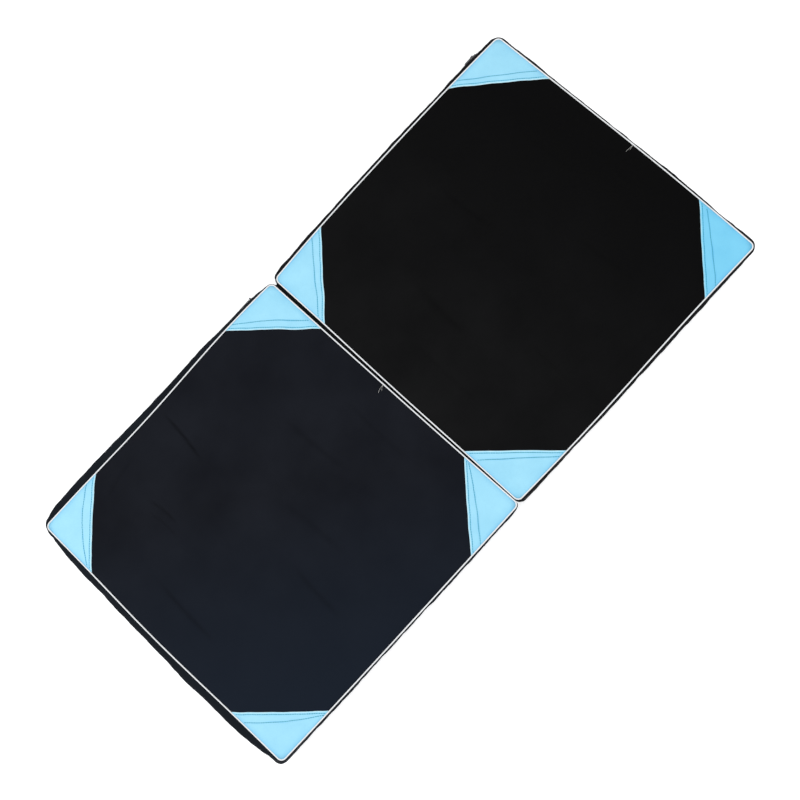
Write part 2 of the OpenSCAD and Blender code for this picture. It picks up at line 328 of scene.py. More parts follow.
BLACK = dict(Specular_IOR_Level=0.05, Sheen_Weight=0.006, Sheen_Roughness=0.5)
# Both panels are one cloth. b's copy is lighter and bluer: painted light on that panel. Each fade is painted light
# across its panel: a darkens to painted shade towards its outer end, b turns lighter and bluer, a painted sheen,
# towards its outer end on the plain side.
top_cloth = {
    "a": woven(
        "top_cloth_a", (0.0038, 0.0038, 0.0041), (0.0080, 0.0080, 0.0084), 1500,
        fade=((2.2, 0.3, 0.0), (0.0012, 0.0011, 0.0012)), **BLACK,
    ),
    "b": woven(
        "top_cloth_b", (0.0058, 0.0066, 0.0098), (0.0110, 0.0125, 0.0175), 1500,
        fade=((-1.8, -2.4, -0.35), (0.0092, 0.0147, 0.0255)), **BLACK,
    ),
}
# b's walls are likewise lighter and bluer than a's: painted light.
wall_cloth = {
    "a": woven("wall_cloth_a", (0.0046, 0.0048, 0.0052), (0.0095, 0.0099, 0.0108), 1500, **BLACK),
    "b": woven("wall_cloth_b", (0.0060, 0.0078, 0.0108), (0.0110, 0.0145, 0.0195), 1500, **BLACK),
}
bottom_cloth = woven(
    "bottom_cloth", (0.0080, 0.0080, 0.0085), (0.0150, 0.0150, 0.0160), 1100, twill=True, **BLACK
)
hinge_cloth = woven("hinge_cloth", (0.0060, 0.0060, 0.0065), (0.0110, 0.0110, 0.0120), 1300, twill=True, **BLACK)
tape_cloth = woven(
    "zip_tape_cloth", (0.0070, 0.0070, 0.0080), (0.0140, 0.0140, 0.0155), 1700, twill=True,
    Specular_IOR_Level=0.25,
)
piping_cloth = woven(
    "piping_cloth", (0.86, 0.87, 0.88), (0.95, 0.955, 0.96), 1600, twill=True, slub=0.15,
    Specular_IOR_Level=0.3, Sheen_Weight=0.05,
)
patch_skin = leatherette("patch_skin", (0.272, 0.605, 0.780), (0.320, 0.665, 0.830), (0.62, 0.82, 0.86))
# A shaded copy of patch_skin: painted shade for the patch where less light falls.
patch_skin_painted_shade = leatherette("patch_skin_painted_shade", (0.142, 0.520, 0.750), (0.176, 0.570, 0.790), (0.50, 0.78, 0.84))
patch_thread = plain_grain("patch_thread", (0.002, 0.230, 0.340), (0.006, 0.330, 0.460), 2600.0)
pale_thread = plain_grain("pale_thread", (0.36, 0.35, 0.33), (0.55, 0.54, 0.51), 2600.0)
black_thread = plain_grain("black_thread", (0.006, 0.006, 0.007), (0.016, 0.016, 0.018), 2600.0)
filler = plain_grain("piping_filler", (0.55, 0.54, 0.50), (0.72, 0.71, 0.67), 1500.0)
foam = plain_grain("foam_cells", (0.55, 0.56, 0.55), (0.72, 0.73, 0.72), 700.0, (0.9, 1.0), 0.0005)
coil_plastic = plain_grain(
    "coil_plastic", (0.008, 0.008, 0.009), (0.016, 0.016, 0.018), 1800.0, (0.3, 0.42), Specular_IOR_Level=0.45
)
zip_metal = plain_grain(
    "zip_metal", (0.10, 0.10, 0.105), (0.19, 0.19, 0.195), 900.0, (0.30, 0.45), 0.00004, Metallic=0.85
)


# ---------------------------------------------------------------- mesh helpers
def quads(index, flip=False):
    """Faces of a rectangular net of vertex numbers."""
    a, b, c, d = index[:-1, :-1], index[1:, :-1], index[1:, 1:], index[:-1, 1:]
    return np.stack((a, d, c, b) if flip else (a, b, c, d), -1).reshape(-1, 4).tolist()


def make(name, points, faces, material, weave=None, edge=None):
    """A mesh piece from points in millimetres about the middle of the fold."""
    mesh = bpy.data.meshes.new(name)
    mesh.from_pydata(((np.asarray(points) + ORIGIN) * MM).tolist(), [], faces)
    mesh.polygons.foreach_set("use_smooth", np.ones(len(mesh.polygons), bool))
    if weave is not None:
        set_vectors(mesh, "weave", np.asarray(weave) * MM)
    if edge is not None:
        set_wear_highlight_and_shade(mesh, edge)
    mesh.materials.append(material)
    made = bpy.data.objects.new(name, mesh)
    scene.collection.objects.link(made)
    return made


def set_vectors(mesh, name, values):
    attribute = mesh.attributes.get(name) or mesh.attributes.new(name, "FLOAT_VECTOR", "POINT")
    attribute.data.foreach_set("vector", np.asarray(values, np.float32).ravel())


# The edge attribute: painted crease shade on the top cloth; on the patches, rubbed wear with a painted highlight along
# the free edge, and painted shade by the seams as negative values.
def set_wear_highlight_and_shade(mesh, values):
    mesh.attributes.new("edge", "FLOAT", "POINT").data.foreach_set("value", np.asarray(values, np.float32))


def points_of(obj):
    """The piece's points, in millimetres about the middle of the fold."""
    flat = np.zeros(len(obj.data.vertices) * 3, np.float32)
    obj.data.vertices.foreach_get("co", flat)
    return flat.reshape(-1, 3).astype(float) / MM - ORIGIN


def put_points(obj, points):
    obj.data.vertices.foreach_set("co", ((points + ORIGIN) * MM).astype(np.float32).ravel())
    obj.data.update()


def settle(obj):
    """Applies the piece's modifiers."""
    graph = bpy.context.evaluated_depsgraph_get()
    mesh = bpy.data.meshes.new_from_object(obj.evaluated_get(graph), preserve_all_data_layers=True, depsgraph=graph)
    obj.modifiers.clear()
    old, obj.data = obj.data, mesh
    bpy.data.meshes.remove(old)
    mesh.polygons.foreach_set("use_smooth", np.ones(len(mesh.polygons), bool))
    return obj


def subdivide(obj, levels=1):
    made = obj.modifiers.new("finer", "SUBSURF")
    made.levels = made.render_levels = levels
    return settle(obj)


def thicken(obj, thickness, offset=-1.0):
    made = obj.modifiers.new("thickness", "SOLIDIFY")
    made.thickness = thickness * MM
    made.offset = offset
    return settle(obj)


def tree_of(obj):
    """For finding places on a piece's surface."""
    return BVHTree.FromPolygons(points_of(obj).tolist(), [list(p.vertices) for p in obj.data.polygons])


def drop(tree, x, y, start=60.0, fallback=SEAM_Z):
    """The height of a surface under each point of a plan."""
    heights = []
    for px, py in zip(np.ravel(x), np.ravel(y)):
        hit = tree.ray_cast((px, py, start), (0, 0, -1))[0]
        heights.append(fallback if hit is None else hit[2])
    return np.array(heights).reshape(np.shape(x))


def tube(path, radius, sides, closed=False, flat=1.0):
    """Points and faces of a tube along a path, with one radius or one for each point."""
    path = np.asarray(path, float)
    count = len(path)
    ahead = np.roll(path, -1, 0) - np.roll(path, 1, 0)
    if not closed:
        ahead[0], ahead[-1] = path[1] - path[0], path[-1] - path[-2]
    ahead /= np.linalg.norm(ahead, axis=1)[:, None]
    hint = np.array([0, 0, 1.0]) if abs(ahead[:, 2]).mean() < 0.8 else np.array([1.0, 0, 0])
    across = np.cross(ahead, hint)
    across /= np.linalg.norm(across, axis=1)[:, None]
    above = np.cross(across, ahead)
    turn = np.arange(sides) * 2 * math.pi / sides
    radius = np.broadcast_to(np.asarray(radius, float), (count,))
    rings = (
        path[:, None]
        + (across[:, None] * np.cos(turn)[None, :, None] + above[:, None] * flat * np.sin(turn)[None, :, None])
        * radius[:, None, None]
    )
    index = np.arange(count * sides).reshape(count, sides)
    index = np.concatenate([index, index[:, :1]], 1)
    if closed:
        index = np.concatenate([index, index[:1]], 0)
    faces = quads(index)
    if not closed:
        faces += [index[0, :-1].tolist(), index[-1, :-1][::-1].tolist()]
    return rings.reshape(-1, 3), faces, turn


def joined(parts):
    """Several point and face lists as one."""
    points, faces, start = [], [], 0
    for p, f in parts:
        points.append(p)
        faces += [[i + start for i in face] for face in f]
        start += len(p)
    return np.concatenate(points), faces


# ---------------------------------------------------------------- the panels' plan
def wave(values, u):
    start, end, first, second, third = values
    return (
        start * (1 - u) + end * u
        + first * np.sin(math.pi * u) + second * np.sin(2 * math.pi * u) + third * np.sin(3 * math.pi * u)
    )


def wander(side, x, y):
    """How far a point of the straight plan is moved, so that the edges wander as the sewn ones do."""
    low, high = SPAN[side]
    edges = WANDER[side]
    u = np.clip((x - low) / (high - low), 0, 1)
    v = np.clip((y + HALF) / (2 * HALF), 0, 1)
    if side == "a":
        at_low, at_high = wave(edges["fold"], v), wave(edges["outer"], v)
    else:
        at_low, at_high = -wave(edges["outer"], v), -wave(edges["fold"], v)
    dx = at_low * (1 - u) + at_high * u
    dy = -wave(edges["plain"], u) * (1 - v) + wave(edges["zip"], u) * v
    return dx, dy


def on_plan(side, x, y):
    dx, dy = wander(side, x, y)
    return x + dx, y + dy


def rounded(side, x, y):
    """Bends a square grid's corners round. Returns the plan and the outward direction at the edge."""
    low, high = SPAN[side]
    middle, half = (low + high) / 2, (high - low) / 2
    ax = np.clip(abs(x - middle) - (half - CORNER), 0, None) / CORNER
    ay = np.clip(abs(y) - (HALF - CORNER), 0, None) / CORNER
    nx = np.sign(x - middle) * ax * np.sqrt(1 - ay**2 / 2)
    ny = np.sign(y) * ay * np.sqrt(1 - ax**2 / 2)
    px = middle + np.clip(x - middle, CORNER - half, half - CORNER) + CORNER * nx
    py = np.clip(y, CORNER - HALF, HALF - CORNER) + CORNER * ny
    return px, py, nx, ny


GRID_STEP = 5.4


def graded(low, high):
    """Places of the grid lines between two edges, closer together near both."""
    steps = [CORNER / 4] * 4
    step = 2.2
    while step < GRID_STEP:
        steps.append(step)
        step *= 1.22
    rest = (high - low) / 2 - sum(steps)
    count = round(rest / GRID_STEP)
    half = np.cumsum([0] + steps + [rest / count] * count)
    return np.concatenate([low + half, (high - half[::-1])[1:]])


def edge_of(side, nx, ny, u, v, table):
    """A value from a table of the four edges, blended round the corners by direction."""
    ends = ("fold", "outer") if side == "a" else ("outer", "fold")

    def look(name, t):
        found = table[side][name]
        return np.interp(t, [p[0] for p in found], [p[1] for p in found])

    along_x = np.where(nx < 0, look(ends[0], v), look(ends[1], v))
    along_y = np.where(ny < 0, look("plain", u), look("zip", u))
    return (nx**2 * along_x + ny**2 * along_y) / np.maximum(nx**2 + ny**2, 1e-9)


def smooth_rows(knots, rows):
    """Catmull-Rom through knots [station, knot, value] at that many rows."""
    count = knots.shape[1]
    padded = np.concatenate([2 * knots[:, :1] - knots[:, 1:2], knots, 2 * knots[:, -1:] - knots[:, -2:-1]], 1)
    found = []
    for t in np.linspace(0, count - 1, rows):
        i = min(int(t), count - 2)
        f = t - i
        p0, p1, p2, p3 = (padded[:, i + k] for k in range(4))
        found.append(
            0.5 * (2 * p1 + (p2 - p0) * f + (2 * p0 - 5 * p1 + 4 * p2 - p3) * f**2
                   + (3 * p1 - p0 - 3 * p2 + p3) * f**3)
        )
    return np.stack(found, 1)


WALL_ROWS = 17
TOP_RISE = ((0, 0), (1.6, 0.65), (3.0, 1.05), (6.0, 1.35), (12.0, 1.5), (25.0, 1.6))


class Panel:
    """The closed cover of one half: a grid on top, rows down the walls, and a grid underneath."""

    def __init__(self, side):
        self.side = side
        low, high = SPAN[side]
        self.gx, self.gy = graded(low, high), graded(-HALF, HALF)
        n, m = len(self.gx), len(self.gy)
        x, y = np.meshgrid(self.gx, self.gy, indexing="ij")
        self.depth = np.minimum(np.minimum(x - low, high - x), HALF - abs(y))
        px, py, nx, ny = rounded(side, x, y)
        wx, wy = on_plan(side, px, py)
        rise = np.interp(self.depth, [p[0] for p in TOP_RISE], [p[1] for p in TOP_RISE])
        top = np.stack([wx, wy, SEAM_Z + rise], -1)
        number = np.arange(n * m).reshape(n, m)
        self.top_index = number
        self.loop = np.concatenate(
            [number[:-1, 0], number[-1, :-1], number[:0:-1, -1], number[0, :0:-1]]
        )
        lx, ly = px.ravel()[self.loop], py.ravel()[self.loop]
        lnx, lny = nx.ravel()[self.loop], ny.ravel()[self.loop]
        self.loop_plan = np.stack([lx, ly], 1)
        self.loop_normal = np.stack([lnx, lny], 1)
        walls = self.wall_rows(lx, ly, lnx, lny)
        floor = np.stack([px - 0.1 * nx, py - 0.1 * ny, np.where(self.depth > 0.1, 0.0, BOTTOM_Z)], -1)
        floor[..., 2] += 0.4 * np.exp(-self.depth / 1.2)
        inner = walls[:, 1:-1].reshape(-1, 3)
        self.points = np.concatenate([top.reshape(-1, 3), floor.reshape(-1, 3), inner])
        count = len(self.loop)
        rows = WALL_ROWS - 2
        self.bottom_index = number + n * m
        body = (2 * n * m + np.arange(count * rows)).reshape(count, rows)
        self.wall_index = np.concatenate(
            [self.loop[:, None], body, (self.loop + n * m)[:, None]], 1
        )
        self.points[self.wall_index[:, -1]] = walls[:, -1]
        self.rest = self.points.copy()
        edge = np.concatenate([self.loop_plan, self.loop_plan[:1]])
        self.run = np.concatenate([[0], np.cumsum(np.linalg.norm(np.diff(edge, axis=0), axis=1))])

    def wall_rows(self, x, y, nx, ny):
        side = self.side
        low, high = SPAN[side]
        u, v = np.clip((x - low) / (high - low), 0, 1), np.clip((y + HALF) / (2 * HALF), 0, 1)
        s = edge_of(side, nx, ny, u, v, SHOULDER)
        m = edge_of(side, nx, ny, u, v, MIDDLE)
        knots = (
            (-1.5 + 0 * s, SEAM_Z), (-0.5 + 0 * s, 36.7), (0.5 * s, 35.6), (0.88 * s, 34.0), (s, 31.6),
            (0.4 * s + 0.58 * m, 26.0), (m, ZIP_Z), (0.9 * m - 0.2, 10.5), (0.62 * m - 0.5, 4.6),
            (0.2 * m - 1.0, 1.5), (-1.6 + 0 * s, BOTTOM_Z),
        )
        knots = np.stack([np.stack([o, z + 0 * o], -1) for o, z in knots], 1)
        rows = smooth_rows(knots, WALL_ROWS)
        out, z = rows[..., 0] + PIPE_R, rows[..., 1]
        dx, dy = wander(side, x, y)
        fade = np.clip((z - ZIP_Z) / (31.0 - ZIP_Z), 0, 1)
        fade = fade * fade * (3 - 2 * fade)
        px = x[:, None] + dx[:, None] * fade + nx[:, None] * out
        py = y[:, None] + dy[:, None] * fade + ny[:, None] * out
        toward_fold = (nx < -0.05) if side == "a" else (nx > 0.05)
        gap = 0.22
        held = np.maximum(px, gap) if side == "a" else np.minimum(px, -gap)
        px = np.where(toward_fold[:, None] & (z < 36.9), held, px)
        return np.stack([px, py, z], -1)

    def faces(self):
        wall = np.concatenate([self.wall_index, self.wall_index[:1]], 0)
        return quads(self.top_index) + quads(self.bottom_index, flip=True) + quads(wall, flip=True)

    def pinned(self):
        """How firmly each point is held while the cover is blown up."""
        held = np.zeros(len(self.points))
        held[self.loop] = 1
        held[self.bottom_index.ravel()] = 1
        held[self.wall_index[:, -2:].ravel()] = 1
        z = self.rest[self.wall_index][..., 2]
        zip_side = (self.loop_normal[:, 1] > 0.5)[:, None] & (abs(z - ZIP_Z) < 11.5)
        fold_side = ((self.loop_normal[:, 0] < -0.3) if self.side == "a" else (self.loop_normal[:, 0] > 0.3))
        held[self.wall_index[zip_side | fold_side[:, None]]] = 1
        return held

    def swell(self):
        """Blows the cover up a little against its seams, and keeps a capped share of that."""
        cover = make("blown_cover", self.points, self.faces(), wall_cloth[self.side])
        group = cover.vertex_groups.new(name="held")
        held = self.pinned()
        group.add([int(i) for i in np.nonzero(held)[0]], 1.0, "REPLACE")
        cloth = cover.modifiers.new("cloth", "CLOTH")
        cloth.settings.quality = 4
        cloth.settings.mass = 0.3
        cloth.settings.tension_stiffness = cloth.settings.compression_stiffness = 25
        cloth.settings.shear_stiffness = 8
        cloth.settings.bending_stiffness = 0.4
        cloth.settings.use_pressure = True
        cloth.settings.uniform_pressure_force = 4
        cloth.settings.vertex_group_mass = "held"
        cloth.settings.effector_weights.gravity = 0
        cloth.settings.shrink_min = -0.004
        cloth.point_cache.frame_start, cloth.point_cache.frame_end = 1, 20
        for step in range(1, 21):
            scene.frame_set(step)
        settle(cover)
        moved = points_of(cover) - self.rest
        bpy.data.objects.remove(cover)
        scene.frame_set(1)
        cap = np.full(len(moved), 1.3)
        cap[self.top_index.ravel()] = 0.35
        length = np.linalg.norm(moved, axis=1)
        moved *= (cap * np.tanh(length / cap) / np.maximum(length, 1e-9))[:, None]
        self.points = self.rest + moved * (1 - held)[:, None]


# ---------------------------------------------------------------- wrinkles in the top cloth
# Creases: two ends, half width and height
CREASES = {
    "a": [
        ((185, -98), (182, -196), 5.5, 0.22), ((262, 40), (255, 150), 9.0, 0.30), ((118, -30), (126, 92), 10.0, 0.28),
        ((338, -150), (330, -52), 9.0, 0.26), ((402, 10), (398, 96), 8.0, 0.24), ((222, -206), (330, -214), 6.0, 0.22),
        ((60, -118), (64, 30), 8.0, 0.22), ((440, -80), (446, 40), 7.0, 0.22),
    ],
    "b": [
        ((-249, 228), (-259, 134), 5.0, 0.45), ((-353, 159), (-348, 100), 4.5, 0.34), ((-366, 148), (-362, 84), 4.0, 0.26),
        ((-140, -40), (-150, 96), 10.0, 0.26), ((-300, -170), (-292, -60), 9.0, 0.26), ((-214, 20), (-206, -110), 11.0, 0.24),
        ((-448, -60), (-442, 70), 7.0, 0.30), ((-70, -90), (-66, 40), 8.0, 0.22), ((-404, 210), (-330, 222), 5.0, 0.24),
    ],
}
HIGHEST_TOP = 39.7


def wrinkles(side, points):
    """Heights to add to the top cloth, and how much painted shade each point takes in a crease.

    Broad waves, creases, and puckers beside the patches.
    """
    x, y = points[:, 0], points[:, 1]
    low, high = SPAN[side]
    inside = np.minimum(np.minimum(x - low, high - x), HALF - abs(y))
    open_cloth = np.clip((inside - 3) / 22, 0, 1)
    drift = np.array([noise.noise(Vector((px * 0.006, py * 0.004, 3.0))) for px, py in zip(x, y)])
    mottled = np.array([noise.noise(Vector((px * 0.022, py * 0.013, 9.0))) for px, py in zip(x, y)])
    added = (0.30 * np.sin(x / 8.6 + 5.0 * drift) * (0.5 + 0.8 * drift) + 0.22 * mottled) * open_cloth
    shade = np.zeros(len(points))
    for (ax, ay), (bx, by), width, height in CREASES[side]:
        along = np.array([bx - ax, by - ay])
        length = np.linalg.norm(along)
        along = along / length
        t = ((x - ax) * along[0] + (y - ay) * along[1]) / length
        off = (x - ax) * along[1] - (y - ay) * along[0] + 4.0 * drift + 2.5 * np.sin(t * 3.0)
        ends = np.clip(t * 4, 0, 1) * np.clip((1 - t) * 4, 0, 1)
        groove = np.exp(-(((off - 1.25 * width) / (0.6 * width)) ** 2))
        added += 1.5 * height * ends * (np.exp(-((off / width) ** 2)) - 0.9 * groove)
        # Painted shade along each crease's groove, stronger for the higher creases.
        shade = np.maximum(shade, 2.1 * max(height - 0.16, 0) * ends * groove**2)
    for (where, end, across), ((leg_x, leg_y), *_) in PATCHES.items():
        if where != side:
            continue
        corner, inward = corner_of(side, end, across)
        first = corner + inward * (leg_x, 0)
        second = corner + inward * (0, leg_y)
        along = (second - first) / np.linalg.norm(second - first)
        normal = np.array([-along[1], along[0]])
        normal *= np.sign((first - corner) @ normal)
        beyond = (x - first[0]) * normal[0] + (y - first[1]) * normal[1]
        t = ((x - first[0]) * along[0] + (y - first[1]) * along[1])
        near = np.exp(-((np.clip(beyond, 0, None) / 9.0) ** 2)) * (beyond > -12) * np.clip((inside - 2) / 8, 0, 1)
        added += near * (0.16 * np.sin(t * 0.62 + 2.0 * drift) + 0.10 * np.sin(t * 0.31))
        added *= np.where(beyond < 0, 0.35, 1)
    return added, np.clip(shade, 0, 1)


def corner_of(side, end, across):
    """A panel's corner on the straight plan, and which way is inward from it."""
    low, high = SPAN[side]
    at_high = (side == "a") == (end == "outer")
    sign_y = 1 if across == "zip" else -1
    corner = np.array([high if at_high else low, sign_y * HALF])
    return corner, np.array([-1.0 if at_high else 1.0, -sign_y])


# ---------------------------------------------------------------- small pieces
def stitch_row(path, height, pitch=3.4, length=2.95, radius=0.5, dip=0.4):
    """Separate stitches along a plan path: short threads that dive into the cloth at both ends."""
    path = np.asarray(path)
    run = np.concatenate([[0], np.cumsum(np.linalg.norm(np.diff(path, axis=0), axis=1))])
    parts = []
    at = 0.4
    while at + length < run[-1] - 0.5:
        size = length * random.uniform(0.93, 1.05)
        spots = at + size * np.array([0.0, 0.12, 0.35, 0.65, 0.88, 1.0])
        x, y = np.interp(spots, run, path[:, 0]), np.interp(spots, run, path[:, 1])
        aside = random.uniform(-0.12, 0.12)
        z = height(x, y) + radius * 0.12 - dip * np.array([1.4, 0.35, 0.0, 0.0, 0.35, 1.4])
        line = np.stack([x + aside, y - aside, z], 1)
        ring, faces, _ = tube(line, radius * np.array([0.7, 1, 1, 1, 1, 0.7]), 6, flat=0.7)
        parts.append((ring, faces))
        at += pitch
    return joined(parts)


PATCH_T = 48
PATCH_EDGES = np.array([
    0, 0.25, 0.6, 1.1, 1.7, 2.3, 2.8, 3.2, 3.6, 4.1, 4.8, 5.6, 6.4, 7.4, 8.6, 10, 11.5, 13, 15, 17.5, 20.5, 24, 28,
    33, 39, 46, 54, 63, 73, 85,
])
PATCH_THICK = 0.8
PATCH_CEILING = 39.65


def make_patch(side, end, across, tree):
    """A triangular reinforcement: its free edge turned under and sewn down with two rows of stitches."""
    (leg_x, leg_y), (row_first, row_middle, row_last), bow = PATCHES[side, end, across]
    corner, inward = corner_of(side, end, across)
    name = f"{side}_{end}_{across}_side"
    key = sum(ord(c) for c in name)
    inset = 0.5
    t = np.linspace(0, 1, PATCH_T)
    turn = t * math.pi / 2
    radius = CORNER - inset
    arc = corner + inward * CORNER - inward * radius * np.stack([np.sin(turn), np.cos(turn)], 1)
    first = corner + inward * (leg_x, inset)
    second = corner + inward * (inset, leg_y)
    along = second - first
    along_length = np.linalg.norm(along)
    along = along / along_length
    normal = np.array([-along[1], along[0]])
    normal *= np.sign((first - corner) @ normal)

    def wavy(share):
        spread = np.array([noise.noise(Vector((float(p) * 5.0, key * 0.37, 0))) for p in np.ravel(share)])
        spread = spread.reshape(np.shape(share)) * np.clip(share * 8, 0.2, 1) * np.clip((1 - share) * 8, 0.2, 1)
        return 1.5 * spread + bow * 4 * share * (1 - share)

    def free_edge(share):
        return first + np.outer(share, second - first) + np.outer(wavy(share), normal)

    def second_row(share):
        return (
            row_first * (1 - share) * (1 - 2 * share) + row_middle * 4 * share * (1 - share)
            + row_last * share * (2 * share - 1)
        )

    edge = free_edge(t)
    s = 1 - PATCH_EDGES[::-1] / PATCH_EDGES[-1]
    plan = arc[:, None] * (1 - s)[None, :, None] + edge[:, None] * s[None, :, None]
    inside = -((plan - first) @ normal - wavy(np.clip((plan - first) @ along / along_length, 0, 1)))
    share = np.clip((plan - first) @ along / along_length, 0, 1)
    row_2 = second_row(share)
    x, y = on_plan(side, plan[..., 0], plan[..., 1])
    ground = drop(tree, x, y)
    hem = np.clip((6.2 - inside) / 1.2, 0, 1)
    top = PATCH_THICK + 0.22 * hem * hem * (3 - 2 * hem)
    top -= 0.30 * np.exp(-inside / 0.35)
    pull = 0.5 + 0.5 * np.sin(share * along_length * 2 * math.pi / 3.4)
    top -= (0.10 + 0.14 * pull) * np.exp(-(((inside - ROW_1) / 0.7) ** 2))
    top -= (0.05 + 0.10 * pull) * np.exp(-(((inside - row_2) / 0.9) ** 2))
    ripple = np.array([noise.noise(Vector((px * 0.06, py * 0.06, key))) for px, py in plan.reshape(-1, 2)])
    top += 0.12 * ripple.reshape(top.shape) * np.clip((inside - 7) / 6, 0, 1)
    room = PATCH_CEILING + 0.004 * abs(x)
    upper = np.stack([x, y, np.maximum(np.minimum(ground + top, room), ground + 0.3)], -1)
    lower = np.stack([x, y, ground + 0.02], -1)
    n, m = x.shape
    index = np.arange(2 * n * m).reshape(2, n, m)
    ring = [*index[0, :-1, 0], *index[0, -1, :-1], *index[0, :0:-1, -1], *index[0, 0, :0:-1]]
    faces_up = quads(index[0])
    first_face = upper.reshape(-1, 3)[faces_up[n * m // 2]]
    looks_up = np.cross(first_face[1] - first_face[0], first_face[2] - first_face[0])[2] > 0
    faces = quads(index[0], flip=not looks_up) + quads(index[1], flip=looks_up)
    for k, i in enumerate(ring):
        j = ring[(k + 1) % len(ring)]
        face = [int(i), int(i + n * m), int(j + n * m), int(j)]
        faces.append(face if looks_up else face[::-1])
    points = np.concatenate([upper.reshape(-1, 3), lower.reshape(-1, 3)])
    place = np.concatenate([plan, np.zeros((n, m, 1))], -1).reshape(-1, 3)
    # The free edge's rubbed wear, with a painted highlight on it.
    rubbed_and_highlit = np.exp(-inside / 1.1)
    # Painted shade by the seams at the corner and along both stitch rows.
    to_corner = (plan - corner) * inward
    seam = np.exp(-np.clip(to_corner.min(-1) - inset, 0, None) / 3.2)
    for row in (ROW_1, row_2):
        seam = np.maximum(seam, 0.9 * np.exp(-(((inside - row) / 0.8) ** 2)))
    wear_highlight_and_shade = (rubbed_and_highlit - seam * (1 - rubbed_and_highlit)).ravel()
    # The patch at a's outer end on the plain side takes the painted shade copy of the patch skin.
    patch = make(
        f"patch_{name}_leatherette", points, faces,
        patch_skin_painted_shade if (side, end, across) == ("a", "outer", "plain") else patch_skin,
        np.concatenate([place, place + (0, 0, 3)]), np.concatenate([wear_highlight_and_shade, wear_highlight_and_shade]),
    )
    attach(patch, f"panel_{side}")
    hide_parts(f"patch_{name}")

    skin = tree_of(patch)
    rows = []
    shares = np.linspace(0.0, 1.0, 220)
    for distance in (ROW_1 + 0 * shares, second_row(shares)):
        line = free_edge(shares) - distance[:, None] * normal
        keep = ((line - corner) * inward).min(1) > 1.5
        lx, ly = on_plan(side, line[keep, 0], line[keep, 1])
        rows.append(stitch_row(np.stack([lx, ly], 1), lambda a, b: drop(skin, a, b)))
    points, faces = joined(rows)
    thread = make(f"stitches_{name}", points, faces, patch_thread)
    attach(thread, f"panel_{side}")


def outline_path(side, inset=0.0, step=3.0):
    """A closed path round a panel's plan, and the distance along it."""
    low, high = SPAN[side]
    radius = CORNER - inset
    spots = []
    for cx, cy, start in (
        (high - CORNER, HALF - CORNER, 0), (low + CORNER, HALF - CORNER, 90),
        (low + CORNER, CORNER - HALF, 180), (high - CORNER, CORNER - HALF, 270),
    ):
        for k in range(9):
            angle = math.radians(start + k * 11.25)
            spots.append((cx + radius * math.cos(angle), cy + radius * math.sin(angle)))
    path = []
    for (ax, ay), (bx, by) in zip(spots, spots[1:] + spots[:1]):
        pieces = max(1, round(math.hypot(bx - ax, by - ay) / step))
        path += [(ax + (bx - ax) * k / pieces, ay + (by - ay) * k / pieces) for k in range(pieces)]
    return np.array(path)


JOIN_Y = {"a": -17.0, "b": 15.0}


def make_piping(side):
    """The white piping: a tube of bias tape round a filler cord, its ends lapped at the middle of one edge."""
    plan = outline_path(side)
    x, y = on_plan(side, plan[:, 0], plan[:, 1])
    run = np.concatenate([[0], np.cumsum(np.linalg.norm(np.diff(plan, axis=0), axis=1))])
    uneven = np.array([noise.noise(Vector((r * 0.03, 7.0, ord(side)))) for r in run])
    path = np.stack([x, y, PIPE_Z + 0.08 * uneven], 1)
    radius = PIPE_SHOWN_R * (0.985 + 0.03 * uneven)
    points, faces, turn = tube(path, radius, 12, closed=True)
    around = np.tile(turn * PIPE_SHOWN_R, len(path))
    place = np.stack([np.repeat(run, 12), around, 0 * around], 1)
    skin = make(f"piping_{side}_tape", points, faces, piping_cloth, place)
    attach(skin, f"panel_{side}")
    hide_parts(f"piping_{side}")

    points, faces, _ = tube(path, 0.6, 8, closed=True)
    cord = make(f"piping_{side}_filler_cord", points, faces, filler)
    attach(cord, f"panel_{side}")
    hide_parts(f"piping_cord_{side}")

    edge_x = SPAN[side][1]
    lap_y = JOIN_Y[side] + np.linspace(-5.5, 5.5, 12)
    lx, ly = on_plan(side, edge_x + 0 * lap_y, lap_y)
    swell = PIPE_SHOWN_R * np.array([0.9, 1.06, 1.1, 1.12, 1.13, 1.14, 1.14, 1.13, 1.12, 1.1, 1.06, 0.9])
    lap = np.stack([lx, ly, PIPE_Z + 0 * lap_y], 1)
    points, faces, turn = tube(lap, swell, 12)
    points[:, 1] += 0.9 * (points[:, 0] - edge_x)
    points[:, 2] = np.minimum(points[:, 2], PIPE_Z + PIPE_R + 0.15)
    place = np.stack([np.repeat(lap_y, 12), np.tile(turn * PIPE_R, 12), 0 * np.repeat(lap_y, 12)], 1)
    lapped = make(f"piping_{side}_lapped_join", points, faces, piping_cloth, place)
    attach(lapped, f"panel_{side}")

    parts = []
    start_x, start_y = float(lx[6]), float(ly[6])
    for reach, turn_deg, lift in ((14.0, 178, 0.5), (8.5, 196, 0.8)) if side == "b" else ((14.0, 176, 0.5), (8.0, 188, 0.6)):
        angle = math.radians(turn_deg)
        curl = random.uniform(-0.25, 0.25)
        t = np.linspace(0, 1, 9)
        bend = angle + curl * t
        tail = np.stack([
            start_x - 0.9 + reach * t * np.cos(bend), start_y + reach * t * np.sin(bend),
            PIPE_Z + 0.9 + lift * np.sin(math.pi * t) * 0.4 - 0.35 * t,
        ], 1)
        parts.append(tube(tail, 0.22, 6)[:2])
    points, faces = joined(parts)
    tails = make(f"piping_{side}_thread_tails", points, faces, pale_thread)
    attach(tails, f"panel_{side}")


def helix(x0, x1, z, reach, phase):
    """One coil of a zip: a spiral whose loops reach past the middle line."""
    pitch, points_a_turn = 1.35, 9
    count = int((x1 - x0) / pitch * points_a_turn)
    t = np.arange(count) / points_a_turn
    turn = 2 * math.pi * (t + phase)
    centre_z = (z + reach) / 2
    return np.stack([
        x0 + t * pitch, 0.58 * np.sin(turn), centre_z + (z - reach) / 2 * np.cos(turn),
    ], 1)


